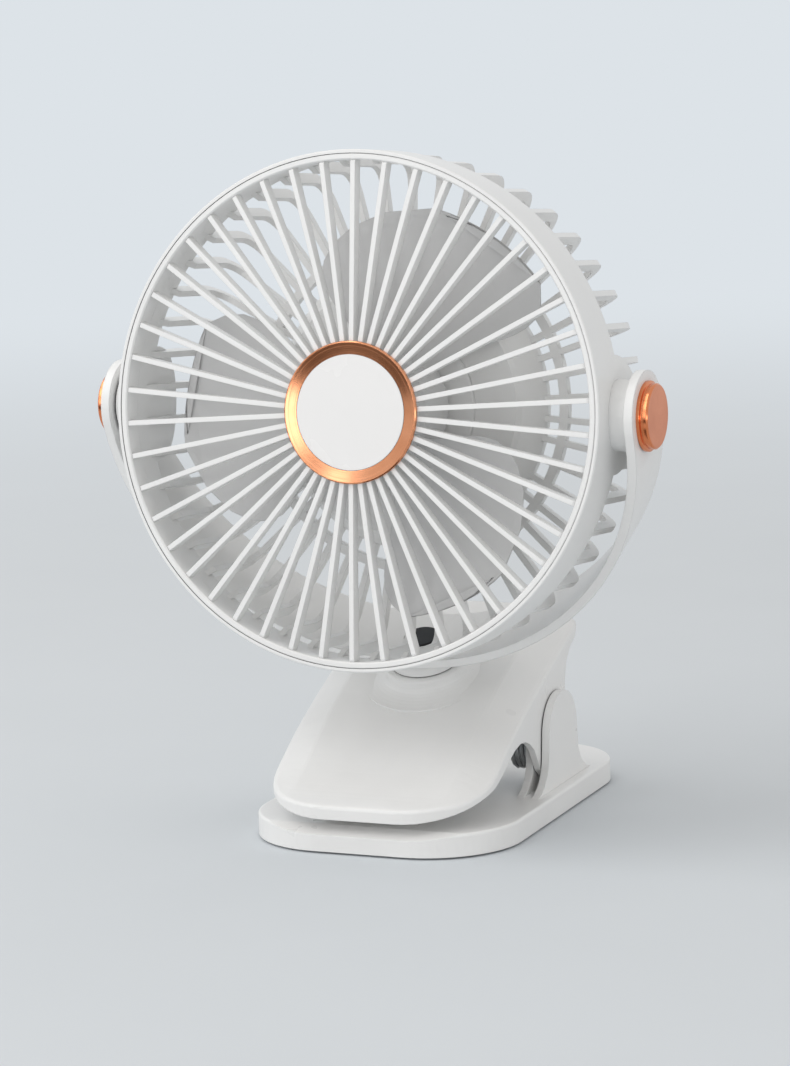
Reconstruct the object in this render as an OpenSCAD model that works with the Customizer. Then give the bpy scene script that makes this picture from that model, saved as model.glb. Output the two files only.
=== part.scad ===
// Portable clip-on camping fan: a spring clip with a flat underside carries an
// inclined swivel, a U-shaped yoke and a round fan head that tilts on two pivots.
// Millimetres, +Z up. The origin is the centre of the underside. The air blows
// towards -Y and the clip opens towards -Y.

/* [Lower jaw] */
// Width of the lower jaw plate
jaw_w = 91; // [84:1:100]
// Length of the lower jaw plate
jaw_l = 138; // [130:1:150]
// Height of the plate's top face above the table
jaw_top = 8; // [6.5:0.5:9]
// Corner radius at the front of the plate
jaw_front_r = 30; // [20:1:34]
// Corner radius at the back of the plate
jaw_back_r = 26; // [16:1:32]
// Length of the ramp at the front of the plate
ramp_l = 7; // [4:1:10]
// Drop of the ramp over its length
ramp_drop = 2; // [1:0.5:3]
// Thickness of the two outer ears
ear_t = 2.6; // [2.2:0.1:3.4]
// Radius of the rounded top of an ear
ear_r = 13.3; // [12:0.1:15]
// Thickness of the two inner hinge lugs
lug_t = 2.6; // [2.2:0.1:3.4]
// Radius of the plate's rounded upper edge
jaw_round = 1; // [0.6:0.1:1.4]

/* [Hinge] */
// Distance of the hinge pin behind the centre of the plate
hinge_y = 12.3; // [11:0.1:13]
// Height of the hinge pin
hinge_z = 19; // [18.4:0.1:19.6]
// Radius of the hinge pin
pin_r = 2; // [1.5:0.1:2.5]
// Mean radius of the clip spring's coils
coil_r = 6.2; // [5:0.1:6.4]
// Wire radius of the clip spring
wire_r = 0.8; // [0.6:0.1:1]

/* [Clip body] */
// Width of the clip body
body_w = 77.2; // [74:0.2:78]
// Radius of the lip's corners
lip_r = 26; // [20:1:30]
// Wall of the clip body
body_wall = 2.2; // [1.8:0.1:2.6]
// Width of the bevels along both sides of the clip body
bevel_w = 11.6; // [9:0.2:13]
// Radius of the clip body's rounded upper edge
edge_round = 1.2; // [1:0.1:2]
// Thickness of the bottom cover
cover_t = 1.6; // [1.4:0.1:2]

/* [Yoke] */
// Height of the swivel's seat on the clip body above the table
seat_z = 52.2; // [51.5:0.1:53]
// Distance of the swivel's seat in front of the centre of the plate
seat_front = 5.7; // [5:0.1:7]
// Lean of the yoke and the swivel axis
yoke_lean = 21.6; // [20:0.2:23]
// Half the outer width of the yoke at the pivots
yoke_half_w = 92.2; // [90:0.2:96]
// How much less deep than half as wide the yoke is
yoke_flat = 1.8; // [0:0.1:2]
// Thickness of the yoke's band
yoke_t = 3; // [2.4:0.1:3.4]
// Width of the yoke's band
yoke_band = 29; // [25:0.5:31]
// Radius of the swivel collar under the yoke
collar_r = 12; // [10:0.5:14]
// Height of the swivel collar
collar_h = 5.2; // [4.6:0.2:6]

/* [Head] */
// Backward lean of the head in the rest position
head_lean = 5.2; // [0:0.2:10]
// Gap between the head's rim and the inside of the yoke's arms
arm_gap = 5.9; // [5.5:0.1:7]
// Wall outside the seam
rim_wall = 1.3; // [1.1:0.1:1.4]
// Distance of the front rim in front of the tilt axis
head_front = 20; // [18:0.5:20.5]
// Distance of the rear guard's outside behind the tilt axis
head_back = 32; // [28:0.5:32.5]
// Number of spokes of the front grille and of ribs of the rear guard
spokes = 46; // [36:1:50]
// Width of a spoke
spoke_w = 1.6; // [1.2:0.1:1.8]
// Width of a rib of the rear guard
rib_w = 2; // [1.6:0.1:2.4]
// Depth of a rib of the rear guard
rib_d = 3.6; // [3:0.1:4.5]
// Radius of the rear guard's rounded edge
guard_round = 10; // [8:0.5:12]
// Radius of the middle ring of the rear guard
guard_ring_r = 54; // [52:0.5:58]
// Radius of the motor cup at the back
cup_r = 48; // [46:0.5:49]

/* [Badge] */
// Outer radius of the copper badge ring
badge_r = 22.8; // [21:0.2:24]
// Radius of the flat badge disc
disc_r = 18.5; // [16:0.1:19]

/* [Fan] */
// Number of blades
blades = 3; // [2:1:4]
// Radius at the blade tips
fan_r = 68.2; // [60:0.2:74]
// Radius of the fan's hub
hub_r = 19.5; // [18:0.5:21]
// Height that a blade climbs from its front edge to its back edge
blade_rise = 18.8; // [14:0.2:20]
// Thickness of a blade
blade_t = 1.8; // [1.4:0.1:2.2]
// Radius of the motor shaft
shaft_r = 1.5; // [1.2:0.1:2]

/* [Pivots] */
// Radius of a copper pivot cap at its base
cap_r = 11.2; // [9:0.2:12]
// Height of a pivot cap
cap_h = 3.5; // [3:0.1:4.5]
// Radius of the pivot bosses on the head
boss_r = 11.4; // [10.5:0.1:11.4]
// Radius of a pivot screw's shoulder
shoulder_r = 3; // [2.5:0.1:3.5]

/* [Hidden] */

eps = 0.01;          // overlap that makes a cut clean
seat = 0.1;          // clearance round a piece that is seated
run = 0.05;          // radial clearance of a running fit
face_gap = 0.3;      // clearance between faces that pass each other
$fn = 64;

// Sizes that follow: the head fits in the yoke, and the yoke stands on the clip body
grille_r = yoke_half_w - yoke_t - arm_gap - rim_wall;
yoke_depth = yoke_half_w - yoke_flat;
swivel_gap = 0.3;    // gap between the collar and its seat
neck_top = yoke_depth + collar_h + swivel_gap;   // from the tilt axis down to the seat
pivot_z = seat_z + neck_top * cos(yoke_lean);
pivot_front = seat_front + neck_top * sin(yoke_lean);

white = "#eeeeec";
copper = "#d08a66";
dark = "#2a2b2d";
pad_grey = "#d2d2d0";
steel = "#b8babd";

// ---- shared helpers -------------------------------------------------------

// Points of an arc round [cx, cy] from angle a0 to a1
function arc(cx, cy, r, a0, a1, n = 8) =
    [for (i = [0:n]) [cx + r * cos(a0 + (a1 - a0) * i / n), cy + r * sin(a0 + (a1 - a0) * i / n)]];

function reversed(pts) = [for (i = [len(pts) - 1:-1:0]) pts[i]];

// Triangles of a grid of rings, each ring a closed loop of n points
function loft_faces(rings, n) = concat(
    [for (i = [0:rings - 2], j = [0:n - 1])
        [i * n + j, i * n + (j + 1) % n, (i + 1) * n + (j + 1) % n]],
    [for (i = [0:rings - 2], j = [0:n - 1])
        [i * n + j, (i + 1) * n + (j + 1) % n, (i + 1) * n + j]],
    [[for (j = [n - 1:-1:0]) j]],
    [[for (j = [0:n - 1]) (rings - 1) * n + j]]
);

// A side outline, drawn in Y and Z, extruded along X between x0 and x1
module across(x0, x1) {
    translate([x0, 0, 0])
        rotate([90, 0, 90])
            linear_extrude(height = x1 - x0)
                children();
}

// A bar along X
module bar_x(x0, x1, r) {
    translate([x0, 0, 0])
        rotate([0, 90, 0])
            cylinder(h = x1 - x0, r = r);
}

module both_sides() {
    children();
    mirror([1, 0, 0]) children();
}

// ---- lower jaw ------------------------------------------------------------

foot_proud = 0.5;    // how far the foot pad stands below the plate
ear_in = body_w / 2 + 0.4;
ear_out = ear_in + ear_t;
ear_rise = 7.2;      // height of the ear's round centre above the pin
ear_fillet = 13;
ear_spread = 1;      // how much wider the ear is near the plate
lug_out = body_w / 2 - body_wall - face_gap;
lug_r = 7.8;         // radius of a lug behind the pin
lug_reach = 14.3;    // how far a lug reaches in front of the pin
lug_top = 10;        // height of a lug above the pin
lug_corner = 5.5;
lug_flare = 11.6;    // radius of the hollow in front of a lug
blind = 1.8;         // depth of the pin's blind bores in the ears
jaw_front = -jaw_l / 2;

module rounded_plan(w, l, front_r, back_r) {
    hull() {
        for (s = [-1, 1]) {
            translate([s * (w / 2 - front_r), -l / 2 + front_r]) circle(r = front_r);
            translate([s * (w / 2 - back_r), l / 2 - back_r]) circle(r = back_r);
        }
    }
}

// Ear outline in Y and Z: a round top that flares into the plate
module ear_outline() {
    intersection() {
        offset(r = -ear_fillet)
            offset(delta = ear_fillet) {
                hull() {
                    translate([hinge_y, hinge_z - 3]) circle(r = ear_r + ear_spread);
                    translate([hinge_y, hinge_z + ear_rise]) circle(r = ear_r);
                }
                translate([-jaw_l, jaw_top - jaw_l]) square([2 * jaw_l, jaw_l]);
            }
        translate([hinge_y - ear_r - ear_fillet, jaw_top - foot_proud - 1.5])
            square([2 * (ear_r + ear_fillet), hinge_z + ear_rise + ear_r]);
    }
}

// Inner lug outline: round behind the pin, level on top, flared in front
module lug_outline() {
    low = jaw_top - 1;
    front = hinge_y - lug_reach;
    top = hinge_z + lug_top;
    polygon(concat(
        [[hinge_y + lug_r + 1, low]],
        [for (a = [-20:11:90]) [hinge_y + lug_r * cos(a), hinge_z + lug_top * sin(a)]],
        arc(front + lug_corner, top - lug_corner, lug_corner, 90, 180, 6),
        arc(front - lug_flare, jaw_top + lug_flare, lug_flare, 0, -86, 8),
        [[front - lug_flare, low]]
    ));
}

// Plate with a rounded upper edge
module plate() {
    hull() {
        translate([0, 0, foot_proud]) linear_extrude(height = eps)
            rounded_plan(jaw_w, jaw_l, jaw_front_r, jaw_back_r);
        for (a = [0:22.5:90])
            translate([0, 0, jaw_top - jaw_round + jaw_round * sin(a) - eps]) linear_extrude(height = eps)
                offset(delta = -jaw_round * (1 - cos(a))) rounded_plan(jaw_w, jaw_l, jaw_front_r, jaw_back_r);
    }
}

pad_recess = 1;
foot_w = 56;
foot_l = 104;

module lower_jaw() {
    color(white) difference() {
        union() {
            plate();
            both_sides() {
                across(ear_in, ear_out) ear_outline();
                across(lug_out - lug_t, lug_out) lug_outline();
            }
        }
        // ramp down to the front edge
        across(-jaw_w, jaw_w)
            polygon([
                [jaw_front + ramp_l, jaw_top], [jaw_front - 1, jaw_top - ramp_drop * (ramp_l + 1) / ramp_l],
                [jaw_front - 1, jaw_top + 2], [jaw_front + ramp_l, jaw_top + 2]
            ]);
        // pin bores: through the lugs, blind in the ears
        translate([0, hinge_y, hinge_z]) bar_x(-ear_in - blind, ear_in + blind, pin_r + run);
        translate([0, 0, foot_proud - eps]) linear_extrude(height = pad_recess) foot_plan(seat);
        grip_pad_block(seat, 2);
    }
}

module foot_plan(extra) {
    offset(delta = extra) rounded_plan(foot_w, foot_l, 12, 12);
}

module foot_pad() {
    color(dark) linear_extrude(height = foot_proud + pad_recess - seat) foot_plan(0);
}

// Lower grip pad: a rubber strip let into the plate behind the ramp
grip_w = jaw_w - 59;
grip_l = 20;
grip_top = jaw_top + 1;
grip_y = jaw_front + ramp_l + 6;

module grip_pad_block(extra, up) {
    translate([-grip_w / 2 - extra, grip_y - extra, jaw_top - pad_recess - extra])
        cube([grip_w + 2 * extra, grip_l + 2 * extra, pad_recess + extra + up]);
}

module lower_grip_pad() {
    rib = 1.2;
    color(pad_grey) difference() {
        grip_pad_block(0, grip_top - jaw_top);
        for (y = [grip_y + 2.4:4:grip_y + grip_l - 2])
            translate([-grip_w, y, grip_top - 0.7]) cube([2 * grip_w, rib, 2]);
    }
}

module hinge_pin() {
    color(steel)
        translate([0, hinge_y, hinge_z]) bar_x(-ear_in - blind + 0.2, ear_in + blind - 0.2, pin_r);
}

// ---- clip springs ---------------------------------------------------------

turns = 4;
steps = 14;          // points per turn
wire_sides = 6;
coil_pitch = 2 * wire_r + 0.25;
spring_x = lug_out - lug_t - face_gap - wire_r - turns * coil_pitch / 2;   // middle of each coil
low_slope = 48;      // slope of the leg that runs down to the plate
high_slope = 14;     // slope of the leg that runs up to the bottom cover
high_leg = 9.5;      // length of the upper leg
low_drop = hinge_z - jaw_top - wire_r - 0.1;
low_leg = (low_drop - coil_r * cos(low_slope)) / sin(low_slope);
foot_leg = 4;        // length of the bent foot that lies on the plate
sweep_turn = turns * 360 + 180 - low_slope - high_slope;

// The wire's middle line: lower leg, coil, upper leg; both legs run backwards
function spring_path() =
    let (x0 = turns * coil_pitch / 2, x1 = -x0, n = turns * steps + steps / 2,
        low = [-coil_r * sin(low_slope), -coil_r * cos(low_slope)],
        high = [-coil_r * sin(high_slope), coil_r * cos(high_slope)],
        heel = low + low_leg * [cos(low_slope), -sin(low_slope)])
    concat(
        [[x0, heel[0] + foot_leg, heel[1]], [x0, heel[0] + 0.6, heel[1]], [x0, heel[0] - 0.8, heel[1] + 0.4]],
        [for (i = [0:n])
            let (a = -90 - low_slope - sweep_turn * i / n)
            [x0 + (x1 - x0) * i / n, coil_r * cos(a), coil_r * sin(a)]],
        [[x1, high[0] + high_leg * cos(high_slope), high[1] + high_leg * sin(high_slope)]]
    );

function unit(v) = v / norm(v);

module sweep(path, r, sides) {
    n = len(path);
    rings = [for (i = [0:n - 1])
        let (
            t = unit(path[min(i + 1, n - 1)] - path[max(i - 1, 0)]),
            u = unit(cross(t, abs(t[0]) > 0.9 ? [0, 1, 0] : [1, 0, 0])),
            w = cross(t, u)
        )
        for (j = [0:sides - 1]) path[i] + r * (cos(360 * j / sides) * u + sin(360 * j / sides) * w)];
    polyhedron(points = rings, faces = loft_faces(n, sides), convexity = 8);
}

module clip_springs() {
    color(steel) both_sides()
        translate([spring_x, hinge_y, hinge_z]) sweep(spring_path(), wire_r, wire_sides);
}

// ---- clip body ------------------------------------------------------------

lip_front = jaw_front + 0.8;
lip_low = 11;
tail_y = 36.3;
rear_y = 22.7;
arch_top = 28.2;
wall_low = 23.5;     // lower end of the rear wall between the cheeks

// Stations along the body: [y, height of the panel, drop of the bevel's outer edge below it]
stations = [
    [-72, 15.0, 0.2], [-60, 17.2, 1.2], [-51.7, 20.8, 2.3], [-44, 25.3, 3.5],
    [-30, 34.2, 4.2], [-12, 43.9, 5.3], [12, 54.0, 5.3], [tail_y + 4, 65.6, 5.3]
];

// Slope of column c of the stations at station i
function slope(i, c) =
    let (a = max(i - 1, 0), b = min(i + 1, len(stations) - 1))
    (stations[b][c] - stations[a][c]) / (stations[b][0] - stations[a][0]);

// Smooth curve through column c of the stations at a place y
function along(y, c, i = 0) =
    i < len(stations) - 2 && y > stations[i + 1][0] ? along(y, c, i + 1) :
    let (a = stations[i], b = stations[i + 1], l = b[0] - a[0], s = (y - a[0]) / l)
    a[c] * (1 + 2 * s) * pow(1 - s, 2) + b[c] * pow(s, 2) * (3 - 2 * s)
        + l * s * (1 - s) * (slope(i, c) * (1 - s) - slope(i + 1, c) * s);

// Plan of the body: straight sides and round lip corners
lip_x = body_w / 2 - lip_r;
lip_y = lip_front + lip_r;

// Half width of the plan at y, inset all round by e
function plan_half(y, e) =
    y >= lip_y ? body_w / 2 - e : lip_x + sqrt(max(pow(lip_r - e, 2) - pow(lip_y - y, 2), 0));

// Distance of a place from the edge of the plan
function inward(x, y) =
    x > lip_x && y < lip_y ? lip_r - norm([x - lip_x, y - lip_y]) : min(body_w / 2 - x, y - lip_front);

// Drop of the rounded edge at a distance s from it
function rounding(s) =
    s >= edge_round ? 0 : edge_round - sqrt(pow(edge_round, 2) - pow(edge_round - max(s, 0), 2));

// Height of the body's top at a place: panel, bevel and rounded edge
function top_z(x, y) =
    along(y, 1) - along(y, 2) * max(x - body_w / 2 + bevel_w, 0) / bevel_w - rounding(inward(x, y));

// The body's skin: one ring for each station, inset by e and lowered by fall
module body_skin(e, fall) {
    r = lip_r - e;
    ys = concat(
        [for (a = [90:-7.5:0.1]) lip_y - r * sin(a)],
        [for (i = [0:12]) lip_y + (tail_y + 2 - lip_y) * i / 12]
    );
    crease = body_w / 2 - bevel_w;
    points = [for (y = ys)
        let (
            w = plan_half(y, e),
            c = min(crease, w - 2.6),
            xs = [w, w - 0.15, w - 0.6, w - 1.6, c + 0.5, c - 0.5]
        )
        each concat(
            [[-w, y, -fall], [w, y, -fall]],
            [for (x = xs) [x, y, top_z(x, y) - fall]],
            [for (x = reversed(xs)) [-x, y, top_z(x, y) - fall]]
        )];
    polyhedron(points = points, faces = loft_faces(len(ys), 14), convexity = 6);
}

// Underside of the upper jaw, from the lip to the top of the arch
jaw_under = [[-51, 16.6], [-43, 19], [-37, 21.4], [-31, 24.6], [-25, 27.2], [-20, arch_top]];
// The cheek's edge, from the arch's top down to the pin
cheek_front = [
    [-15.4, 27.8], [-11.4, 26.2], [hinge_y - 19.8, hinge_z + 4.4], [hinge_y - 16.4, hinge_z - 0.5],
    [hinge_y - 14.2, hinge_z - 3.8], [hinge_y - 10.4, hinge_z - 6.6]
];
cheek_r = 9;
tail_under = [[tail_y, 59.4], [34.4, 54.2], [28.6, 51], [24.9, 46.8], [23.2, 41.4], [rear_y, 37]];

module body_side() {
    polygon(concat(
        [[lip_front, lip_low], [lip_front, 80], [tail_y, 80]],
        tail_under,
        [[rear_y, 22.5], [rear_y - 2, 20.6]],
        reversed(arc(hinge_y, hinge_z, cheek_r, 235, 340, 10)),
        reversed(cheek_front),
        reversed(jaw_under)
    ));
}

// Space above the hinge that the bottom cover closes, seen from the side
cover_line = [[-56, 15], [-51, 16.6], [-43, 19], [-37, 21.4], [-31, 24.6], [-25, 27.2], [-20, arch_top],
    [-12, 29.6], [-4, 30.4], [rear_y - body_wall, 30.4]];

module inside_side() {
    polygon(concat(
        [[-57, 17.2]],
        [[-51.7, 18.9], [-44, 23], [-30, 31.7], [-12, 40.8], [12, 51.1]],
        [[25.4, 51.6], [22, 46.2], [21, 41], [rear_y - body_wall, 37]],
        [[rear_y - body_wall, wall_low], [rear_y + 1, wall_low - 1], [rear_y + 1, 0], [-57, 0]]
    ));
}

skin_fall = body_wall * 1.15;    // drop of the inside below the panel
neck_r = 14.5;
neck_flare = 8;
neck_low = 7.4;

// Frame of the swivel axis: origin on the tilt axis, -Z down the swivel
module swivel_frame() {
    translate([0, -pivot_front, pivot_z]) rotate([yoke_lean, 0, 0]) children();
}

// Neck that rises from the panel to the swivel with a hollow flare
module neck() {
    swivel_frame() translate([0, 0, -neck_top])
        rotate_extrude()
            polygon(concat(
                [[0, 0], [neck_r - 1.5, 0]],
                arc(neck_r - 1.5, -1.5, 1.5, 60, 0, 3),
                [for (i = [1:8])
                    [neck_r + neck_flare * (1 - cos(90 * i / 8)), -1.5 - (neck_low - 3) * sin(90 * i / 8)]],
                [[neck_r + neck_flare, -neck_low], [0, -neck_low]]
            ));
}

spindle_r = 6;
screw_r = 1.3;
screw_head_r = 2.6;
screw_sink = 0.5;    // depth of the screw heads' recesses in the cover
screw_spots = [[body_w / 2 - 6.6, -16], [body_w / 2 - 8.1, 10]];

// Board, socket and button lie behind the rear wall
board_t = 1.2;
board_y = rear_y - body_wall - 5;
socket_x = 14;
button_x = -12;
lens_x = 0;
rear_row_z = 38;
button_r = 4;
lens_r = 1.2;
socket_w = 9;
socket_h = 3.2;

shell_at_swivel = 8.4;   // height of neck and inner boss along the swivel axis
washer_r = 10;
washer_sink = 0.6;       // depth of the washer's recess in the neck

module body_cavity() {
    intersection() {
        body_skin(body_wall, skin_fall);
        across(-body_w / 2, body_w / 2) inside_side();
    }
}

// Bosses inside the shell: one round the swivel, one over each screw
module inner_bosses() {
    swivel_frame() translate([0, 0, -neck_top - shell_at_swivel]) cylinder(h = 5, r = 10.5);
    intersection() {
        body_skin(0.5, 0.5);
        for (s = [-1, 1], p = screw_spots)
            translate([s * p[0], p[1], cover_at(p[1]) + cover_t + seat + 0.5]) cylinder(h = 40, r = 2.8);
    }
}

// A round hole through the rear wall
module rear_hole(x, r) {
    translate([x, rear_y + 1, rear_row_z])
        rotate([90, 0, 0])
            cylinder(h = 2 * body_wall + 2, r = r);
}

module body_shell() {
    color(white) difference() {
        union() {
            difference() {
                union() {
                    intersection() {
                        body_skin(0, 0);
                        across(-body_w, body_w) body_side();
                    }
                    neck();
                }
                body_cavity();
            }
            inner_bosses();
        }
        // swivel bore and the washer's recess
        swivel_frame() translate([0, 0, -neck_top - 20]) cylinder(h = 40, r = spindle_r + run);
        swivel_frame() translate([0, 0, -neck_top - washer_sink]) cylinder(h = 5, r = washer_r + seat);
        // bores for the hinge pin in both cheeks
        translate([0, hinge_y, hinge_z]) bar_x(-body_w, body_w, pin_r + run);
        for (s = [-1, 1], p = screw_spots)
            translate([s * p[0], p[1], cover_at(p[1])]) cylinder(h = 6.5, r = screw_r + seat);
        // openings in the rear wall
        rear_hole(button_x, button_r + face_gap);
        rear_hole(lens_x, lens_r + seat);
        translate([socket_x, rear_y, rear_row_z])
            cube([socket_w + 4 * seat, 4 * body_wall, socket_h + 4 * seat], center = true);
    }
}

module cover_outline() {
    polygon(concat(
        cover_line,
        reversed([for (p = cover_line) [p[0], p[1] + cover_t]])
    ));
}

module bottom_cover() {
    half = body_w / 2 - body_wall - seat;
    color(white) difference() {
        intersection() {
            across(-half, half) cover_outline();
            body_skin(body_wall + seat, skin_fall + seat);
        }
        for (s = [-1, 1], p = screw_spots) translate([s * p[0], p[1], 0]) {
            cylinder(h = seat_z, r = screw_r + face_gap);
            cylinder(h = cover_at(p[1]) + screw_sink, r = screw_head_r + face_gap);
        }
    }
}

// Rubber nose under the lip that meets the lower grip pad
module upper_grip_pad() {
    nose_front = grip_y + 0.5;
    nose_l = 4;
    color(pad_grey) across(-grip_w / 2 + 1, grip_w / 2 - 1)
        polygon([
            [nose_front, grip_top + face_gap], [nose_front + nose_l, grip_top + face_gap],
            [nose_front + nose_l, under_at(nose_front + nose_l)], [nose_front, under_at(nose_front)]
        ]);
}

// Height of the lip's underside at a place y
function under_at(y) =
    lip_low + (jaw_under[0][1] - lip_low) * (y - lip_front) / (jaw_under[0][0] - lip_front);

// Flat lithium cell that lies on the bottom cover, under the panel
battery_w = 46;
battery_l = 16;
battery_t = 3.4;

module battery_pack() {
    front = stations[4];
    back = stations[5];
    slope = atan2(back[1] - front[1], back[0] - front[0]);
    color("#3f6f9e") translate([0, front[0], front[1] - body_wall * 1.15 - seat])
        rotate([slope, 0, 0])
            translate([-battery_w / 2, -0.5, -battery_t - face_gap]) cube([battery_w, battery_l, battery_t]);
}

board_w = body_w - 23.2;
board_h = 12;

module circuit_board() {
    color("#1f6b45") translate([-board_w / 2, board_y, rear_row_z - 5]) cube([board_w, board_t, board_h]);
}

socket_wall = 0.5;
socket_deep = 4.4;   // depth of the socket's opening

module charging_socket() {
    color(steel) difference() {
        translate([socket_x - socket_w / 2, board_y + board_t, rear_row_z - socket_h / 2])
            cube([socket_w, rear_y - board_y - board_t - 0.2, socket_h]);
        translate([socket_x, rear_y, rear_row_z])
            cube([socket_w - 2 * socket_wall, 2 * socket_deep, socket_h - 2 * socket_wall], center = true);
    }
}

module indicator_lens() {
    color("#dff3ff") translate([lens_x, rear_y, rear_row_z])
        rotate([90, 0, 0]) cylinder(h = rear_y - board_y - board_t, r = lens_r);
}

travel = 0.8;        // travel of the power button
stem_r = 1.4;

module button_switch() {
    color(dark) translate([button_x - 3, board_y + board_t, rear_row_z - 3]) cube([6, switch_t, 6]);
}

button_proud = 0.8;
switch_t = 1.2;

module power_button() {
    color("#d9dadb") translate([button_x, rear_y + button_proud, rear_row_z]) rotate([90, 0, 0]) {
        cylinder(h = button_proud + body_wall + 0.9, r = button_r);
        translate([0, 0, button_proud + body_wall + 0.2]) cylinder(h = 0.7, r = button_r + 1);
        cylinder(h = rear_y + button_proud - board_y - board_t - switch_t - travel - 0.2, r = stem_r);
    }
}

module body_screws() {
    color(steel) for (s = [-1, 1], p = screw_spots)
        translate([s * p[0], p[1], cover_at(p[1]) - 0.6]) {
            cylinder(h = 0.5 + screw_sink, r = screw_head_r);
            cylinder(h = 6.8, r = screw_r);
        }
}

// Height of the cover's underside at a place y
function cover_at(y) = lookup(y, cover_line);

module swivel_washer() {
    color(dark) swivel_frame() translate([0, 0, -neck_top - washer_sink + seat]) difference() {
        cylinder(h = washer_sink + swivel_gap - 2 * seat, r = washer_r);
        translate([0, 0, -1]) cylinder(h = 3, r = spindle_r + seat);
    }
}

// ---- yoke -----------------------------------------------------------------

arm_end_r = yoke_band / 2;

// Half of the yoke's outline in X and depth: straight arm, then an ellipse
function yoke_edge(half_w, depth, n = 40) =
    [for (i = [0:n]) [half_w * cos(180 * i / n), -depth * sin(180 * i / n)]];

module yoke_outline() {
    inner_w = yoke_half_w - yoke_t;
    inner_d = yoke_depth - yoke_t;
    polygon(concat(
        [[yoke_half_w, arm_end_r + 1]],
        yoke_edge(yoke_half_w, yoke_depth),
        [[-yoke_half_w, arm_end_r + 1], [-inner_w, arm_end_r + 1]],
        reversed(yoke_edge(inner_w, inner_d)),
        [[inner_w, arm_end_r + 1]]
    ));
}

module yoke() {
    color(white) swivel_frame() difference() {
        intersection() {
            rotate([90, 0, 0]) linear_extrude(height = yoke_band, center = true) yoke_outline();
            across(-yoke_half_w - 1, yoke_half_w + 1) hull() {
                circle(r = arm_end_r);
                translate([-arm_end_r, -yoke_depth - yoke_band]) square([yoke_band, yoke_band]);
            }
        }
        bar_x(-yoke_half_w - 1, yoke_half_w + 1, shoulder_r + seat);
        // flat seats for the washers inside both arms
        bar_x(-yoke_half_w + yoke_t, yoke_half_w - yoke_t, boss_r + face_gap);
        translate([0, 0, -yoke_depth - yoke_t]) cylinder(h = 4 * yoke_t, r = spindle_r + seat);
    }
}

// Collar with a spigot in the yoke above and a threaded spindle below
spindle_l = 15;
nut_h = 2.4;
nut_r = 9;

module swivel_post() {
    color(white) swivel_frame() {
        translate([0, 0, -yoke_depth - collar_h]) rotate_extrude() polygon(concat(
            [[0, 0], [collar_r, 0]],
            [for (s = [0:0.2:1])
                [collar_r + (arm_end_r - collar_r - 0.5) * pow(s, 2), 0.8 + (collar_h - 0.8) * s]],
            [[0, collar_h]]
        ));
        translate([0, 0, -yoke_depth - collar_h - spindle_l + eps]) cylinder(h = spindle_l, r = spindle_r);
        translate([0, 0, -yoke_depth - eps]) cylinder(h = yoke_t - 0.6, r = spindle_r);
    }
}

module swivel_nut() {
    color(steel) swivel_frame() translate([0, 0, -neck_top - shell_at_swivel - nut_h - seat]) difference() {
        cylinder(h = nut_h, r = nut_r);
        translate([0, 0, -1]) cylinder(h = nut_h + 2, r = spindle_r + 0.02);
    }
}

// Dark plug over the swivel screw, in the yoke's bottom
module swivel_plug() {
    color(dark) swivel_frame() translate([0, 0, -yoke_depth + yoke_t - 0.6 + eps]) {
        cylinder(h = 0.6, r = spindle_r);
        translate([0, 0, 0.6]) cylinder(h = 0.5, r1 = spindle_r, r2 = spindle_r - 0.5);
    }
}

// ---- pivots ---------------------------------------------------------------

screw_head_h = 1.9;  // height of a pivot screw's head
pivot_head_r = 5.4;  // radius of a pivot screw's head

module pivot_cap() {
    rim = cap_r - 0.8;
    hollow = pivot_head_r + 1;
    color(copper) swivel_frame() translate([yoke_half_w, 0, 0]) rotate([0, 90, 0]) rotate_extrude()
        polygon([
            [hollow, 0], [cap_r, 0], [cap_r, 1.0], [rim - 0.1, 1.3], [rim - 0.1, 1.5],
            [rim, cap_h - 0.5], [rim - 0.5, cap_h], [0, cap_h], [0, cap_h - 1.1], [hollow, cap_h - 1.1]
        ]);
}

module right_pivot_cap() {
    pivot_cap();
}

module left_pivot_cap() {
    mirror([1, 0, 0]) pivot_cap();
}

screw_l = 9;         // length of a pivot screw inside the yoke
screw_in = yoke_half_w - screw_l;

module pivot_screws() {
    color(steel) swivel_frame() both_sides() {
        bar_x(screw_in, yoke_half_w, shoulder_r);
        bar_x(yoke_half_w, yoke_half_w + screw_head_h, pivot_head_r);
    }
}

washer_t = 0.7;
boss_face = yoke_half_w - yoke_t - washer_t - 0.2;

module friction_washers() {
    color(dark) swivel_frame() both_sides() difference() {
        bar_x(yoke_half_w - yoke_t - washer_t - 0.05, yoke_half_w - yoke_t - 0.05, boss_r - 1.2);
        bar_x(yoke_half_w - yoke_t - 5, yoke_half_w, shoulder_r + seat);
    }
}

// ---- head -----------------------------------------------------------------

// Frame of the head: origin on the tilt axis, Z towards the back of the head
module head_frame() {
    translate([0, -pivot_front, pivot_z]) rotate([-head_lean, 0, 0]) rotate([-90, 0, 0]) children();
}

// A flat piece of radial outline, drawn as radius and depth, at each of n places
module radial(n, w) {
    for (i = [0:n - 1])
        rotate([0, 0, 90 + 360 * i / n])
            rotate([90, 0, 0])
                linear_extrude(height = w, center = true)
                    children();
}

rim_r = grille_r + rim_wall;
rim_in = rim_r - 2.3;
tongue_r = 19;       // radius of the rim's tongues behind the pivots
bezel_depth = 8;
guard_r = rim_r - 0.8;
cup_front_r = 43;
cup_front = 19;
cup_back = head_back + 0.5;   // the cup's rim stands proud of the ribs
can_r = 14;
can_front = 4;
can_back = 24;

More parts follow.
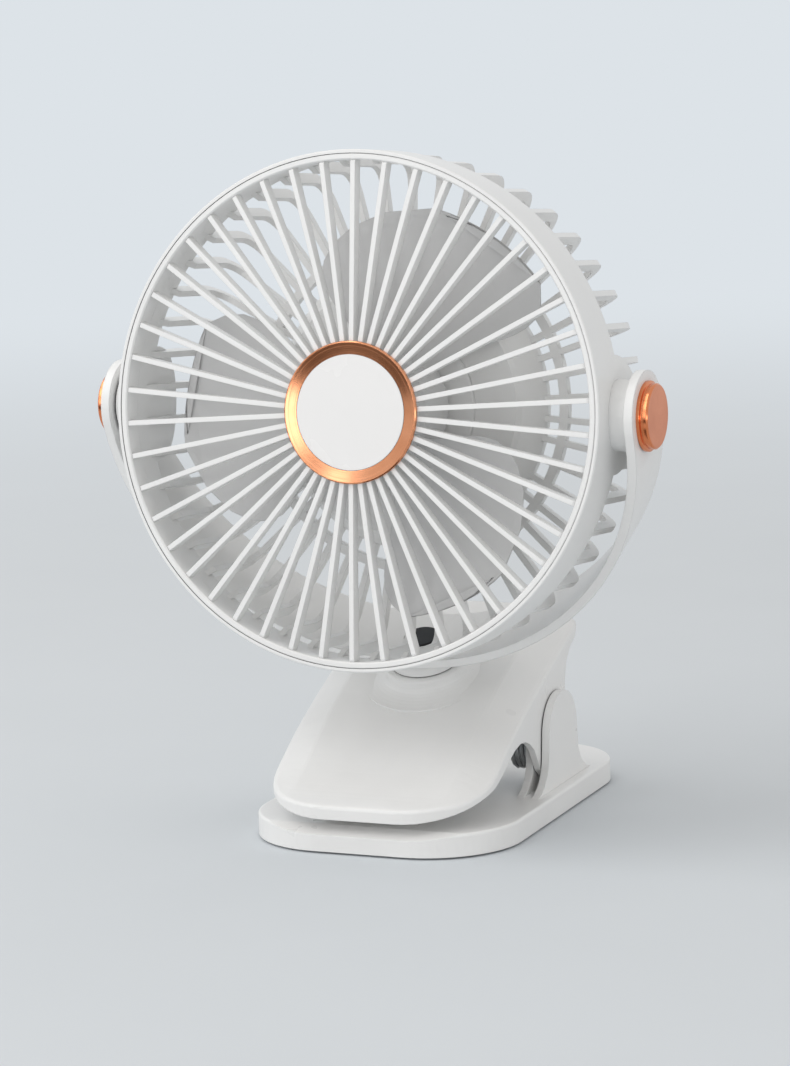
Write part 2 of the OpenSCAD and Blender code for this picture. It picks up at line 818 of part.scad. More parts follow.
// One rib of the rear guard: back from the rim, round the edge, in to the cup
module rib_outline() {
    r = guard_round;
    cr = guard_r - r;
    cz = head_back - r;
    polygon(concat(
        [[guard_r, -4]],
        arc(cr, cz, r, 0, 90, 6),
        [[cup_r - 2, head_back], [cup_r - 2, head_back - rib_d]],
        arc(cr, cz, r - rib_d, 90, 0, 5),
        [[guard_r - rib_d, 0], [guard_r - 1.4, -4]]
    ));
}

module cup_profile() {
    polygon([
        [cup_r, cup_back], [cup_r, cup_back - 3],
        [cup_front_r, cup_front], [cup_front_r - 1.5, cup_front - 1.5],
        [27.6, cup_front - 1.5], [27, cup_front - 1], [26.4, cup_front - 1.5], [can_r + 2.2, cup_front - 3],
        [can_r + 2.2, can_front + 4], [can_r + seat, can_front + 4], [can_r + seat, cup_front + 0.5],
        [cup_front_r - 2.6, cup_front + 0.5], [cup_r - 3.2, cup_back - 3], [cup_r - 3.2, cup_back]
    ]);
}

// The rim: a wall round the grille, with a round tongue behind each pivot
module rim() {
    step = -head_front + bezel_depth + 0.4;
    difference() {
        rotate_extrude() polygon([
            [grille_r + 0.1, -head_front], [rim_r - 0.3, -head_front], [rim_r, -head_front + 0.4],
            [rim_r, tongue_r + 1], [rim_in, tongue_r + 1], [rim_in, step], [grille_r + 0.1, step]
        ]);
        difference() {
            cylinder(h = tongue_r + 2, r = rim_r + 5);
            bar_x(-rim_r - 6, rim_r + 6, tongue_r);
        }
    }
}

module rear_housing() {
    color(white) head_frame() difference() {
        union() {
            rim();
            radial(spokes, rib_w) rib_outline();
            rotate_extrude() translate([guard_ring_r - 1.5, head_back - rib_d]) square([3, rib_d - 0.4]);
            rotate_extrude() cup_profile();
            both_sides() bar_x(rim_in + 0.6, boss_face, boss_r);
        }
        both_sides() bar_x(screw_in - face_gap, yoke_half_w, shoulder_r + run);
        // three screw holes behind the motor cover
        for (a = cover_screw_angles)
            rotate([0, 0, a]) translate([cover_screw_at, 0, cup_front - 2]) cylinder(h = 6, r = 1.1);
    }
}

// Front grille: bezel, straight spokes that rise to a hub
hub_front = head_front + 0.8;
hub_plate = 3;
spoke_end = grille_r - 1.2;

module spoke_outline() {
    polygon([
        [badge_r - 3, -hub_front], [badge_r, -hub_front],
        [spoke_end - 1.5, -head_front + 0.2], [spoke_end, -head_front + 1.2],
        [spoke_end, -head_front + 4.2], [spoke_end - 2, -head_front + 4.4], [badge_r - 3, -hub_front + 3.4]
    ]);
}

module front_grille() {
    color(white) head_frame() {
        rotate_extrude() polygon([
            [grille_r - 2, -head_front + 0.5], [grille_r - 1.6, -head_front],
            [grille_r - 0.3, -head_front], [grille_r, -head_front + 0.3],
            [grille_r, -head_front + bezel_depth], [grille_r - 2, -head_front + bezel_depth]
        ]);
        radial(spokes, spoke_w) spoke_outline();
        translate([0, 0, -hub_front + 0.2]) cylinder(h = hub_plate, r = badge_r - 0.7);
    }
}

module badge_ring() {
    front = -hub_front - 1.4;
    color(copper) head_frame() rotate_extrude() polygon([
        [badge_r - 0.5, -hub_front - 0.05], [badge_r, -hub_front - 0.05],
        [badge_r, front + 0.4], [badge_r - 0.4, front],
        [disc_r + 0.1, front + 0.7], [disc_r + 0.1, -hub_front - 0.05]
    ]);
}

module badge_disc() {
    color("#f4f3f2") head_frame() translate([0, 0, -hub_front - 0.75]) cylinder(h = 0.7, r = disc_r);
}

cover_screw_angles = [30, 150, 270];
cover_screw_at = cup_r - 12;

module motor_cover() {
    r = cup_r - 3.4;
    color(white) head_frame() difference() {
        rotate_extrude() polygon([
            [0, cup_back - 2.4], [r, cup_back - 2.4], [r, cup_back - 0.4], [r - 0.4, cup_back],
            [20, cup_back + 0.8], [0, cup_back + 0.8]
        ]);
        for (a = cover_screw_angles) rotate([0, 0, a]) translate([cover_screw_at, 0, cup_back - 5]) {
            cylinder(h = 8, r = 1.4);
            translate([0, 0, 3.6]) cylinder(h = 8, r = 2.7);
        }
    }
}

module motor_cover_screws() {
    color(steel) head_frame() for (a = cover_screw_angles)
        rotate([0, 0, a]) translate([cover_screw_at, 0, cup_front]) {
        cylinder(h = cup_back - 1.3 - cup_front, r = 1.0);
        translate([0, 0, cup_back - 1.4 - cup_front]) cylinder(h = 1.2, r = 2.5);
    }
}

bushing_r = 3.2;

module motor_can() {
    color("#8d9094") head_frame() difference() {
        translate([0, 0, can_front]) cylinder(h = can_back - can_front, r = can_r);
        translate([0, 0, can_front - 1]) cylinder(h = can_back, r = bushing_r);
    }
}

module motor_bushing() {
    color("#b98d4f") head_frame() translate([0, 0, can_front + 0.2]) difference() {
        cylinder(h = can_back - can_front - 4, r = bushing_r - 0.02);
        translate([0, 0, -1]) cylinder(h = 40, r = shaft_r + 0.03);
    }
}

// ---- fan ------------------------------------------------------------------

blade_gap = 5.2;     // clearance between the blades and the motor cup
blade_mid = cup_front - 1.5 - blade_gap - 0.57 * blade_rise - blade_t / 2;   // depth of the blades' middle
hub_face = -8;       // depth of the hub's front face
hub_len = 22;
blade_start = -66;   // angle of the first blade's root
rows = 11;
cols = 9;

// Outline of a blade: half its angle at a share u of its length
function half_angle(u) = 20 + 19.6 * sin(150 * u) - 12.5 * pow(u, 6) + 8 * pow(1 - u, 3);
// Sweep of a blade's middle line
function sweep_angle(u) = 18.7 * u - 14.1 * sin(150 * u);

// A point of a blade's face: u along its length, v from the front edge to the back
function blade_point(u, v, side) =
    let (
        r = hub_r - 1.2 + (fan_r - hub_r + 1.2) * u,
        a = sweep_angle(u) + half_angle(u) * v,
        edge = 1 - 0.75 * pow(abs(v), 6),
        camber = 1.6 * (1 - v * v),
        climb = blade_rise / 2 * v * half_angle(u) / 40
    )
    [r * cos(a), r * sin(a), blade_mid + climb + camber + side * blade_t / 2 * edge];

module blade() {
    upper = [for (i = [0:rows]) [for (j = [0:cols]) blade_point(i / rows, 2 * j / cols - 1, 1)]];
    lower = [for (i = [0:rows]) [for (j = [cols:-1:0]) blade_point(i / rows, 2 * j / cols - 1, -1)]];
    points = [for (i = [0:rows]) each concat(upper[i], lower[i])];
    polyhedron(points = points, faces = loft_faces(rows + 1, 2 * (cols + 1)), convexity = 6);
}

module fan_rotor() {
    color("#c9cacb") head_frame() difference() {
        union() {
            for (i = [0:blades - 1]) rotate([0, 0, blade_start + 360 * i / blades]) blade();
            rotate_extrude() polygon([
                [0, hub_face], [hub_r - 2.5, hub_face], [hub_r, hub_face + 2.5], [hub_r, hub_face + hub_len],
                [hub_r - 1.8, hub_face + hub_len], [hub_r - 1.8, hub_face + 3.6], [4.4, hub_face + 3.6],
                [4.4, can_front - 0.6], [0, can_front - 0.6]
            ]);
        }
        translate([0, 0, hub_face - 1]) cylinder(h = hub_len, r = shaft_r + 0.02);
    }
}

module motor_shaft() {
    color(steel) head_frame() translate([0, 0, hub_face - 2.6])
        cylinder(h = can_back - hub_face + 1.6, r = shaft_r);
}

module rotor_nut() {
    color("#a9acb0") head_frame() translate([0, 0, hub_face - 2.1]) difference() {
        cylinder(h = 2, r = 3.4, $fn = 6);
        translate([0, 0, -1]) cylinder(h = 4, r = shaft_r + 0.02);
    }
}

lower_jaw();
foot_pad();
lower_grip_pad();
hinge_pin();
clip_springs();
body_shell();
bottom_cover();
upper_grip_pad();
battery_pack();
circuit_board();
charging_socket();
indicator_lens();
button_switch();
power_button();
body_screws();
swivel_washer();
yoke();
swivel_post();
swivel_nut();
swivel_plug();
left_pivot_cap();
right_pivot_cap();
pivot_screws();
friction_washers();
rear_housing();
front_grille();
badge_ring();
badge_disc();
motor_cover();
motor_cover_screws();
motor_can();
motor_bushing();
fan_rotor();
motor_shaft();
rotor_nut();
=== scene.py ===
"""A portable clip-on camping fan: white moulded plastic with copper-coloured trim."""

import math

import bpy
from mathutils import Matrix, Vector


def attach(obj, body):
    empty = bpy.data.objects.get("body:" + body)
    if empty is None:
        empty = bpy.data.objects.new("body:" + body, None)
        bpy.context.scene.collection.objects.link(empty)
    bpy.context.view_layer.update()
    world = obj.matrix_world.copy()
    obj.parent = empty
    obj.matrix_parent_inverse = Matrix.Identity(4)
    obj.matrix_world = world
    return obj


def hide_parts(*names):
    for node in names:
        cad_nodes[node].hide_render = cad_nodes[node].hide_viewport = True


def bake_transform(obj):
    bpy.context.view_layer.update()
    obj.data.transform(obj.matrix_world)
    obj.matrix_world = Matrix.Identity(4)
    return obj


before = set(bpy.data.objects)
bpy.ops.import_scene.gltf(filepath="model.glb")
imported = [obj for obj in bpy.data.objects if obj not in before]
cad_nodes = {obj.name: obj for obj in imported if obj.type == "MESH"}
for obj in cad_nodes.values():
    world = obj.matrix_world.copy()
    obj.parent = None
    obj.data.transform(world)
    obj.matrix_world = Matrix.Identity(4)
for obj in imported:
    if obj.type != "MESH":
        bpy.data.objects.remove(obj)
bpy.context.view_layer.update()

MM = 0.001

# ---- places and sizes on the object, in metres -----------------------------

# where the head's tilt axis crosses the middle, and how far the head looks up at rest
TILT_AXIS = (0.0, -0.041003, 0.141366)
HEAD_LEAN = math.radians(5.2)

# the way the motor cover's screws face, and the x and z of each
COVER_AXIS = (0.0, 0.995884, -0.090633)
COVER_SCREWS = ((0.0, 0.17432), (0.03118, 0.12054), (-0.03118, 0.12054))
SCREW_REACH = 6 * MM                        # no corner of a screw is farther from its x and z

# a cross recess is two slots, cut by boxes whose lower half sinks into the screw's head:
# turn in degrees and height of each, the heights unlike so that the slots' floors don't meet
RECESS_LENGTH, RECESS_WIDTH = 2.9 * MM, 0.75 * MM
RECESS_BOXES = ((0, 1.8 * MM), (90, 1.7 * MM))

MERGE_DISTANCE = 0.002 * MM                 # corners nearer than this are one corner

# ---- the studio ------------------------------------------------------------

BACKDROP = "#dde3e8"                        # tone that the floor fades into
FLOOR_SIZE, FLOOR_Z = 16.0, -0.2 * MM       # a hair below the underside
FADE_START, FADE_END = 0.35, 1.6            # where the floor starts and ends its fade
MIDDLE = (0, -0.03, 0.12)                   # the point that most of the lamps face

# ---- materials -------------------------------------------------------------

# painted shade: the grey that seams and sharp corners of the plastic are darkened towards
PAINTED_SEAM_SHADE_GREY = "#6a696c"                       # tone of the plastic deep in a seam
NOISE_SPAN = {"From Min": 0.3, "From Max": 0.7}    # nearly all of a noise's values lie in here


def linear(hex_colour):
    """An sRGB hex colour as linear RGBA."""
    channels = [int(hex_colour[i:i + 2], 16) / 255 for i in (1, 3, 5)]
    return [c / 12.92 if c <= 0.04045 else ((c + 0.055) / 1.055) ** 2.4 for c in channels] + [1.0]


def across(size_mm):
    """The scale that makes a noise's patches about size_mm across."""
    return 1.0 / (size_mm * MM)


def fill(tree, target, settings=None, links=None):
    """Gives a node's inputs, by name or number, and its own settings their values and links."""
    for key, value in (settings or {}).items():
        if isinstance(key, int) or key in target.inputs:
            target.inputs[key].default_value = value
        else:
            setattr(target, key, value)
    for key, source in (links or {}).items():
        tree.links.new(source, target.inputs[key])


def node(tree, kind, settings=None, links=None):
    """Adds one shader node with its settings and links."""
    made = tree.nodes.new(kind)
    fill(tree, made, settings, links)
    return made


def new_material(name):
    """A material, its node tree and its surface shader."""
    mat = bpy.data.materials.new(name)
    mat.use_nodes = True
    tree = mat.node_tree
    return mat, tree, tree.nodes["Principled BSDF"]


def painted_seam_shade(tree, colour):
    """The colour, darkened with painted shade in seams and sharp corners, where little light gets
    in.
    """
    closed, clear = 0.12, 0.55
    # painted shade: the less open a spot is within 0.9 mm, the nearer its colour goes to the seam
    # grey
    openness = node(tree, "ShaderNodeAmbientOcclusion", {"Distance": 0.9 * MM, "samples": 8})
    unshaded = node(tree, "ShaderNodeMapRange", {"From Min": closed, "From Max": clear},
                 {"Value": openness.outputs["AO"]})
    shaded = node(tree, "ShaderNodeMix", {"data_type": "RGBA", "A": linear(PAINTED_SEAM_SHADE_GREY)},
                  {"B": colour, "Factor": unshaded.outputs["Result"]})
    return shaded.outputs["Result"]


def moulded_abs(name, light, dark, rough, edge_mm=0.4):
    """Injection-moulded ABS from a finely spark-eroded tool: an even satin with soft highlights."""
    mat, tree, surface = new_material(name)
    place = node(tree, "ShaderNodeTexCoord").outputs["Object"]
    cloud = node(tree, "ShaderNodeTexNoise", {"Scale": across(28.0), "Detail": 3.0},
                 {"Vector": place}).outputs["Fac"]
    paleness = node(tree, "ShaderNodeMapRange", {**NOISE_SPAN, "To Min": 0.2, "To Max": 1.0},
                    {"Value": cloud}).outputs["Result"]
    colour = node(tree, "ShaderNodeMix",
                  {"data_type": "RGBA", "A": linear(dark), "B": linear(light)},
                  {"Factor": paleness}).outputs["Result"]
    satin = node(tree, "ShaderNodeMapRange",
                 {**NOISE_SPAN, "To Min": rough - 0.03, "To Max": rough + 0.04},
                 {"Value": cloud}).outputs["Result"]
    # the tool's grain is finer than this: 0.6 mm is the least that shows
    grain = node(tree, "ShaderNodeTexNoise",
                 {"Scale": across(0.6), "Detail": 2.0, "Roughness": 0.6},
                 {"Vector": place}).outputs["Fac"]
    # moulded edges are never sharp
    edges = node(tree, "ShaderNodeBevel", {"Radius": edge_mm * MM, "samples": 6})
    relief = node(tree, "ShaderNodeBump", {"Strength": 0.10, "Distance": 0.04 * MM},
                  {"Height": grain, "Normal": edges.outputs["Normal"]})
    # the base colour carries painted shade in seams and sharp corners
    fill(tree, surface, {"IOR": 1.52},
         {"Base Color": painted_seam_shade(tree, colour), "Roughness": satin,
          "Normal": relief.outputs["Normal"]})
    return mat


def distance_from_axis(tree, centre, lean, keep):
    """Distance from an axis through centre: keep zeroes the coordinate that runs along it."""
    placed = node(tree, "ShaderNodeMapping",
                  {"vector_type": "TEXTURE", "Location": centre, "Rotation": (lean, 0, 0)},
                  {"Vector": node(tree, "ShaderNodeTexCoord").outputs["Object"]})
    flat = node(tree, "ShaderNodeVectorMath", {"operation": "MULTIPLY", 1: keep},
                {0: placed.outputs["Vector"]})
    return node(tree, "ShaderNodeVectorMath", {"operation": "LENGTH"},
                {0: flat.outputs["Vector"]}).outputs["Value"]


def turned_copper(name, lean, keep, light, dark, rough, edge_mm):
    """Diamond-turned, rose-copper-plated, lacquered trim: bright metal with faint tool rings."""
    mat, tree, surface = new_material(name)
    place = node(tree, "ShaderNodeTexCoord").outputs["Object"]
    cloud = node(tree, "ShaderNodeTexNoise", {"Scale": across(7.0), "Detail": 2.0},
                 {"Vector": place}).outputs["Fac"]
    paleness = node(tree, "ShaderNodeMapRange", NOISE_SPAN, {"Value": cloud}).outputs["Result"]
    colour = node(tree, "ShaderNodeMix",
                  {"data_type": "RGBA", "A": linear(dark), "B": linear(light)},
                  {"Factor": paleness}).outputs["Result"]
    # the tool's rings are finer than this: 0.5 mm is the least that shows
    rings = node(tree, "ShaderNodeTexNoise",
                 {"noise_dimensions": "1D", "Scale": across(0.5), "Detail": 3.0},
                 {"W": distance_from_axis(tree, TILT_AXIS, lean, keep)}).outputs["Fac"]
    polish = node(tree, "ShaderNodeMapRange",
                  {**NOISE_SPAN, "To Min": rough - 0.04, "To Max": rough + 0.05},
                  {"Value": rings}).outputs["Result"]
    edges = node(tree, "ShaderNodeBevel", {"Radius": edge_mm * MM, "samples": 6})
    relief = node(tree, "ShaderNodeBump", {"Strength": 0.10, "Distance": 0.02 * MM},
                  {"Height": rings, "Normal": edges.outputs["Normal"]})
    fill(tree, surface, {"Metallic": 1.0},
         {"Base Color": colour, "Roughness": polish, "Normal": relief.outputs["Normal"]})
    return mat


def plated_steel(name, light, dark, rough):
    """Zinc-plated steel: pale, slightly cloudy metal."""
    mat, tree, surface = new_material(name)
    place = node(tree, "ShaderNodeTexCoord").outputs["Object"]
    cloud = node(tree, "ShaderNodeTexNoise", {"Scale": across(2.5), "Detail": 3.0},
                 {"Vector": place}).outputs["Fac"]
    colour = node(tree, "ShaderNodeMix",
                  {"data_type": "RGBA", "A": linear(dark), "B": linear(light)},
                  {"Factor": cloud}).outputs["Result"]
    dulling = node(tree, "ShaderNodeMapRange",
                   {**NOISE_SPAN, "To Min": rough, "To Max": rough + 0.12},
                   {"Value": cloud}).outputs["Result"]
    edges = node(tree, "ShaderNodeBevel", {"Radius": 0.15 * MM, "samples": 6})
    fill(tree, surface, {"Metallic": 1.0},
         {"Base Color": colour, "Roughness": dulling, "Normal": edges.outputs["Normal"]})
    return mat


def matt_rubber(name, light, dark, rough):
    """Compression-moulded rubber or silicone: matt, with a faint bloom and a fine grain."""
    mat, tree, surface = new_material(name)
    place = node(tree, "ShaderNodeTexCoord").outputs["Object"]
    bloom = node(tree, "ShaderNodeTexNoise", {"Scale": across(9.0), "Detail": 4.0},
                 {"Vector": place}).outputs["Fac"]
    colour = node(tree, "ShaderNodeMix",
                  {"data_type": "RGBA", "A": linear(dark), "B": linear(light)},
                  {"Factor": bloom}).outputs["Result"]
    dulling = node(tree, "ShaderNodeMapRange",
                   {**NOISE_SPAN, "To Min": rough, "To Max": rough + 0.12},
                   {"Value": bloom}).outputs["Result"]
    grain = node(tree, "ShaderNodeTexNoise", {"Scale": across(0.5), "Detail": 2.0},
                 {"Vector": place}).outputs["Fac"]
    edges = node(tree, "ShaderNodeBevel", {"Radius": 0.3 * MM, "samples": 6})
    relief = node(tree, "ShaderNodeBump", {"Strength": 0.2, "Distance": 0.05 * MM},
                  {"Height": grain, "Normal": edges.outputs["Normal"]})
    fill(tree, surface, {"IOR": 1.45},
         {"Base Color": colour, "Roughness": dulling, "Normal": relief.outputs["Normal"]})
    return mat


WHITE = moulded_abs("white_satin_abs", "#ededec", "#e8e8e7", rough=0.31, edge_mm=0.3)
YOKE_WHITE = moulded_abs("yoke_white_satin_abs", "#ededec", "#e8e8e7", rough=0.31, edge_mm=0.6)
CLIP_WHITE = moulded_abs("clip_white_satin_abs", "#ececeb", "#e7e7e6", rough=0.30, edge_mm=0.3)
BADGE = moulded_abs("badge_white_polished_abs", "#eeedec", "#ebeae9", rough=0.26)
ROTOR = moulded_abs("rotor_grey_abs", "#d8d8d8", "#d2d2d2", rough=0.44)
BUTTON = moulded_abs("button_grey_abs", "#d9dadb", "#cfd0d2", rough=0.45)
# the caps are turned about the tilt axis, and the ring about the head's own axis, which leans
CAP_COPPER = turned_copper("rose_copper_turned_cap", lean=0.0, keep=(0, 1, 1),
                           light="#ec9163", dark="#e28759", rough=0.17, edge_mm=0.3)
RING_COPPER = turned_copper("rose_copper_turned_ring", lean=-HEAD_LEAN, keep=(1, 0, 1),
                            light="#f0a57b", dark="#e69b71", rough=0.18, edge_mm=0.25)
STEEL = plated_steel("zinc_plated_steel", "#c4c6c8", "#9a9da0", rough=0.30)
# spring wire has no plating: a film of oil keeps it from rust and leaves it a little duller
SPRING = plated_steel("oiled_spring_steel", "#bcbec0", "#a0a3a6", rough=0.34)
RUBBER = matt_rubber("charcoal_nitrile_rubber", "#2c2d2f", "#1f2021", rough=0.7)
SILICONE = matt_rubber("light_grey_silicone", "#d6d6d4", "#cecdcb", rough=0.6)
NYLON = matt_rubber("black_moulded_nylon", "#232426", "#191a1b", rough=0.55)
# the cell's shrink wrap, the board's lacquer and the light pipe are as smooth as moulded plastic
CELL = moulded_abs("blue_cell_wrap", "#3f6f9e", "#376492", rough=0.35)
BOARD = moulded_abs("green_solder_mask", "#1f6b45", "#195a39", rough=0.35)
# pressed and sintered powder is as cloudy as plating, and browner
BRONZE = plated_steel("sintered_bronze", "#b98d4f", "#94703d", rough=0.4)
LENS = moulded_abs("frosted_light_pipe", "#e6f1f7", "#dcebf3", rough=0.25)

FINISH = {
    YOKE_WHITE: ["yoke"],
    WHITE: ["swivel_post", "rear_housing", "front_grille", "motor_cover"],
    CLIP_WHITE: ["lower_jaw", "body_shell", "bottom_cover"],
    BADGE: ["badge_disc"],
    ROTOR: ["fan_rotor"],
    BUTTON: ["power_button"],
    CAP_COPPER: ["left_pivot_cap", "right_pivot_cap"],
    RING_COPPER: ["badge_ring"],
    STEEL: ["hinge_pin", "charging_socket", "body_screws", "swivel_nut", "pivot_screws",
            "motor_cover_screws", "motor_can", "motor_shaft", "rotor_nut"],
    SPRING: ["clip_springs"],
    RUBBER: ["foot_pad"],
    SILICONE: ["lower_grip_pad", "upper_grip_pad"],
    NYLON: ["button_switch", "swivel_washer", "swivel_plug", "friction_washers"],
    CELL: ["battery_pack"],
    BOARD: ["circuit_board"],
    BRONZE: ["motor_bushing"],
    LENS: ["indicator_lens"],
}

for finish, pieces in FINISH.items():
    for piece_name in pieces:
        slots = cad_nodes[piece_name].data.materials
        slots.clear()
        slots.append(finish)


# ---- pieces ----------------------------------------------------------------

def take_in_hand(piece):
    """Leaves this piece alone selected, and active."""
    bpy.ops.object.select_all(action="DESELECT")
    piece.select_set(True)
    bpy.context.view_layer.objects.active = piece


def copy_of(name, new_name):
    """A copy of a CAD node, finish included, with its loose triangles joined up."""
    piece = bpy.data.objects.new(new_name, cad_nodes[name].data.copy())
    bpy.context.scene.collection.objects.link(piece)
    take_in_hand(piece)
    bpy.ops.object.mode_set(mode="EDIT")
    bpy.ops.mesh.select_all(action="SELECT")
    bpy.ops.mesh.remove_doubles(threshold=MERGE_DISTANCE)
    bpy.ops.mesh.select_all(action="DESELECT")
    bpy.ops.object.mode_set(mode="OBJECT")
    return piece


def smooth(piece, sharp_deg):
    """Shades a piece smooth, with edges sharper than sharp_deg kept crisp."""
    take_in_hand(piece)
    bpy.ops.mesh.customdata_custom_splitnormals_clear()
    bpy.ops.object.shade_smooth_by_angle(angle=math.radians(sharp_deg))


def torsion_spring(name, side):
    """One clip spring, cut from the node that holds both and shaded smooth."""
    spring = copy_of("clip_springs", name)
    # the node holds both springs: the one on the other side goes
    for vertex in spring.data.vertices:
        vertex.select = vertex.co.x * side < 0
    bpy.ops.object.mode_set(mode="EDIT")
    bpy.ops.mesh.delete(type="VERT")
    bpy.ops.object.mode_set(mode="OBJECT")
    smooth(spring, sharp_deg=50)
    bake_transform(spring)
    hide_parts("clip_springs")


def recessed_screws():
    """The motor cover's screws, each with the cross recess that its driver fits."""
    screws = copy_of("motor_cover_screws", "cross_recessed_screws")
    axis = Vector(COVER_AXIS)
    tilt = axis.to_track_quat("Z", "Y").to_matrix().to_4x4()
    corners = [vertex.co.copy() for vertex in screws.data.vertices]
    for x, z in COVER_SCREWS:
        near = [c for c in corners if math.hypot(c.x - x, c.z - z) < SCREW_REACH]
        top = max(c.dot(axis) for c in near)
        middle = Vector((x, sum(c.y for c in near) / len(near), z))
        face = middle + axis * (top - middle.dot(axis))
        for turn, height in RECESS_BOXES:
            bpy.ops.object.select_all(action="DESELECT")
            bpy.ops.mesh.primitive_cube_add(size=1.0)
            box = bpy.context.object
            turned = tilt @ Matrix.Rotation(math.radians(turn), 4, "Z")
            sized = Matrix.Diagonal((RECESS_LENGTH, RECESS_WIDTH, height, 1))
            box.data.transform(Matrix.Translation(face) @ turned @ sized)
            cut = screws.modifiers.new("recess", "BOOLEAN")
            cut.operation, cut.solver, cut.object = "DIFFERENCE", "EXACT", box
            bpy.context.view_layer.objects.active = screws
            bpy.ops.object.modifier_apply(modifier=cut.name)
            bpy.data.objects.remove(box)
    smooth(screws, sharp_deg=30)
    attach(screws, "head")
    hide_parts("motor_cover_screws")


torsion_spring("left_torsion_spring", -1)
torsion_spring("right_torsion_spring", 1)
recessed_screws()


# ---- floor, light and camera -----------------------------------------------

def rays_that_see(tree):
    """1 for rays that show a surface: seen by the camera, mirrored, or through glass."""
    path = node(tree, "ShaderNodeLightPath")
    seen_or_mirrored = node(tree, "ShaderNodeMath", {"operation": "MAXIMUM"},
                            {0: path.outputs["Is Camera Ray"], 1: path.outputs["Is Glossy Ray"]})
    return node(tree, "ShaderNodeMath", {"operation": "MAXIMUM"},
                {0: seen_or_mirrored.outputs[0],
                 1: path.outputs["Is Transmission Ray"]}).outputs[0]


def studio_floor():
    """A matt painted floor that keeps the object's shadow and fades into the backdrop beyond it."""
    bpy.ops.mesh.primitive_plane_add(size=FLOOR_SIZE, location=(0, 0, FLOOR_Z))
    floor = bpy.context.object
    floor.name = "floor"
    mat, tree, surface = new_material("pale_painted_floor")
    place = node(tree, "ShaderNodeTexCoord").outputs["Object"]
    patches = node(tree, "ShaderNodeTexNoise", {"Scale": across(90.0), "Detail": 2.0},
                   {"Vector": place}).outputs["Fac"]
    paint = node(tree, "ShaderNodeMix",
                 {"data_type": "RGBA", "A": linear("#cfd4d8"), "B": linear("#d2d7db")},
                 {"Factor": patches}).outputs["Result"]
    fill(tree, surface, {"Roughness": 0.75, "Specular IOR Level": 0.0}, {"Base Color": paint})
    far = node(tree, "ShaderNodeVectorMath", {"operation": "LENGTH"}, {0: place})
    fade = node(tree, "ShaderNodeMapRange",
                {"interpolation_type": "SMOOTHSTEP", "From Min": FADE_START, "From Max": FADE_END},
                {"Value": far.outputs["Value"]})
    shown = node(tree, "ShaderNodeMath", {"operation": "MULTIPLY"},
                 {0: fade.outputs["Result"], 1: rays_that_see(tree)})
    glow = node(tree, "ShaderNodeEmission", {"Color": linear(BACKDROP), "Strength": 1.0})
    mixed = node(tree, "ShaderNodeMixShader", None,
                 {"Fac": shown.outputs[0], 1: surface.outputs[0], 2: glow.outputs[0]})
    fill(tree, tree.nodes["Material Output"], None, {"Surface": mixed.outputs[0]})
    floor.data.materials.append(mat)


def area_light(name, place, target, size, power):
    """A softbox of power watts at place, which faces target and isn't seen itself."""
    lamp = bpy.data.lights.new(name, "AREA")
    lamp.shape = "RECTANGLE"
    lamp.size, lamp.size_y = size
    lamp.energy = power
    softbox = bpy.data.objects.new(name, lamp)
    softbox.location = place
    softbox.visible_camera = False
    facing = Vector(target) - Vector(place)
    softbox.rotation_euler = facing.to_track_quat("-Z", "Y").to_euler()
    bpy.context.scene.collection.objects.link(softbox)


def dark_card(name, place, size, tilt_deg):
    """A card of brown felt, seen only in reflections: it gives the copper its dark side."""
    bpy.ops.mesh.primitive_plane_add(size=1.0, location=(0, 0, 0))
    card = bpy.context.object
    card.name = name
    mat, tree, surface = new_material(name + "_felt")
    place_on_card = node(tree, "ShaderNodeTexCoord").outputs["Object"]
    fibres = node(tree, "ShaderNodeTexNoise", {"Scale": across(3.0), "Detail": 2.0},
                  {"Vector": place_on_card}).outputs["Fac"]
    colour = node(tree, "ShaderNodeMix",
                  {"data_type": "RGBA", "A": linear("#615850"), "B": linear("#6b625b")},
                  {"Factor": fibres}).outputs["Result"]
    fill(tree, surface, {"Roughness": 0.95}, {"Base Color": colour})
    card.data.materials.append(mat)
    turn = Matrix.Rotation(math.radians(tilt_deg), 4, "X")
    card.data.transform(Matrix.Translation(place) @ turn @ Matrix.Diagonal((*size, 1, 1)))
    card.visible_camera = False
    card.visible_diffuse = False
    card.visible_shadow = False
    card.visible_transmission = False


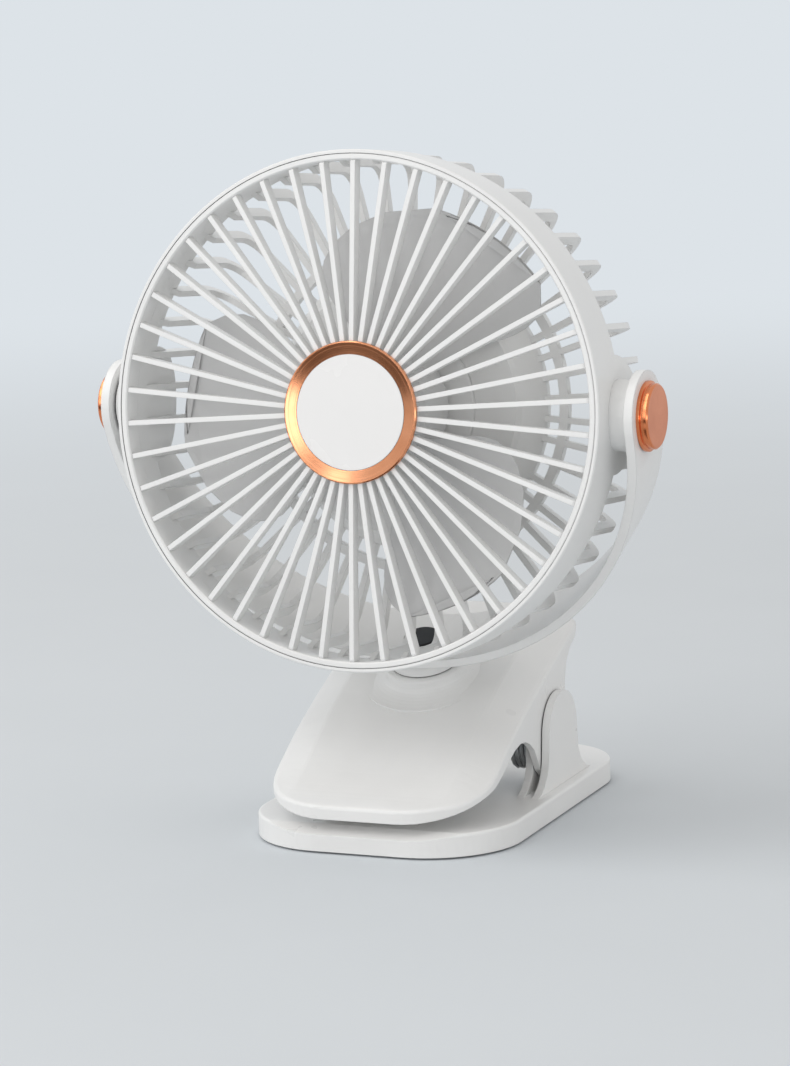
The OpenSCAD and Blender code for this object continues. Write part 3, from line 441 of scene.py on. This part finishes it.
def world_light(strength):
    """Even soft light from all round. The backdrop's tone shows only where it is looked at."""
    world = bpy.data.worlds.new("studio")
    bpy.context.scene.world = world
    world.use_nodes = True
    tree = world.node_tree
    tree.nodes.clear()
    ambient = node(tree, "ShaderNodeBackground",
                   {"Color": linear("#faf8f6"), "Strength": strength})
    backdrop = node(tree, "ShaderNodeBackground", {"Color": linear(BACKDROP), "Strength": 1.0})
    mixed = node(tree, "ShaderNodeMixShader", None,
                 {"Fac": rays_that_see(tree), 1: ambient.outputs[0], 2: backdrop.outputs[0]})
    node(tree, "ShaderNodeOutputWorld", None, {"Surface": mixed.outputs[0]})


def camera():
    """The viewing angle: from the front right, a little above the table."""
    right = (0.9224, 0.3849, -0.0321)
    up = (-0.0357, 0.1677, 0.9852)
    to_viewer = (0.3846, -0.9076, 0.1684)
    place = (0.47412, -1.14785, 0.30642)
    focal_px, frame_height_px = 3764.2, 1066
    lens = bpy.data.cameras.new("camera")
    lens.sensor_width = 36.0
    lens.lens = focal_px * lens.sensor_width / frame_height_px
    viewer = bpy.data.objects.new("camera", lens)
    rows = [*zip(right, up, to_viewer, place), (0, 0, 0, 1)]
    viewer.matrix_world = Matrix(rows)
    bpy.context.scene.collection.objects.link(viewer)
    bpy.context.scene.camera = viewer


studio_floor()
area_light("key", (-0.9, -1.3, 1.5), MIDDLE, size=(1.0, 1.0), power=7.2)
area_light("left", (-1.6, -0.5, 0.7), MIDDLE, size=(0.9, 0.9), power=2.6)
area_light("top", (-0.7, -0.35, 1.6), MIDDLE, size=(0.7, 0.7), power=3.4)
# two tall strips draw the bright lines on the copper, and the low one lights the right rim
area_light("strip", (-0.10, -1.7, 0.30), (0, 0, 0.16), size=(0.22, 0.9), power=2.0)
area_light("side_strip", (-0.63, -1.7, 0.60), (0.1, 0, 0.14), size=(0.22, 0.7), power=1.1)
area_light("low_right", (1.4, -0.8, 0.12), (0, -0.03, 0.10), size=(0.8, 0.22), power=1.2)
dark_card("front_card", (-0.30, -0.50, 0.055), size=(1.1, 0.11), tilt_deg=90)
dark_card("low_card", (0.04, -0.15, 0.001), size=(0.12, 0.16), tilt_deg=0)
world_light(0.80)
camera()
bpy.context.scene.view_settings.view_transform = "Standard"
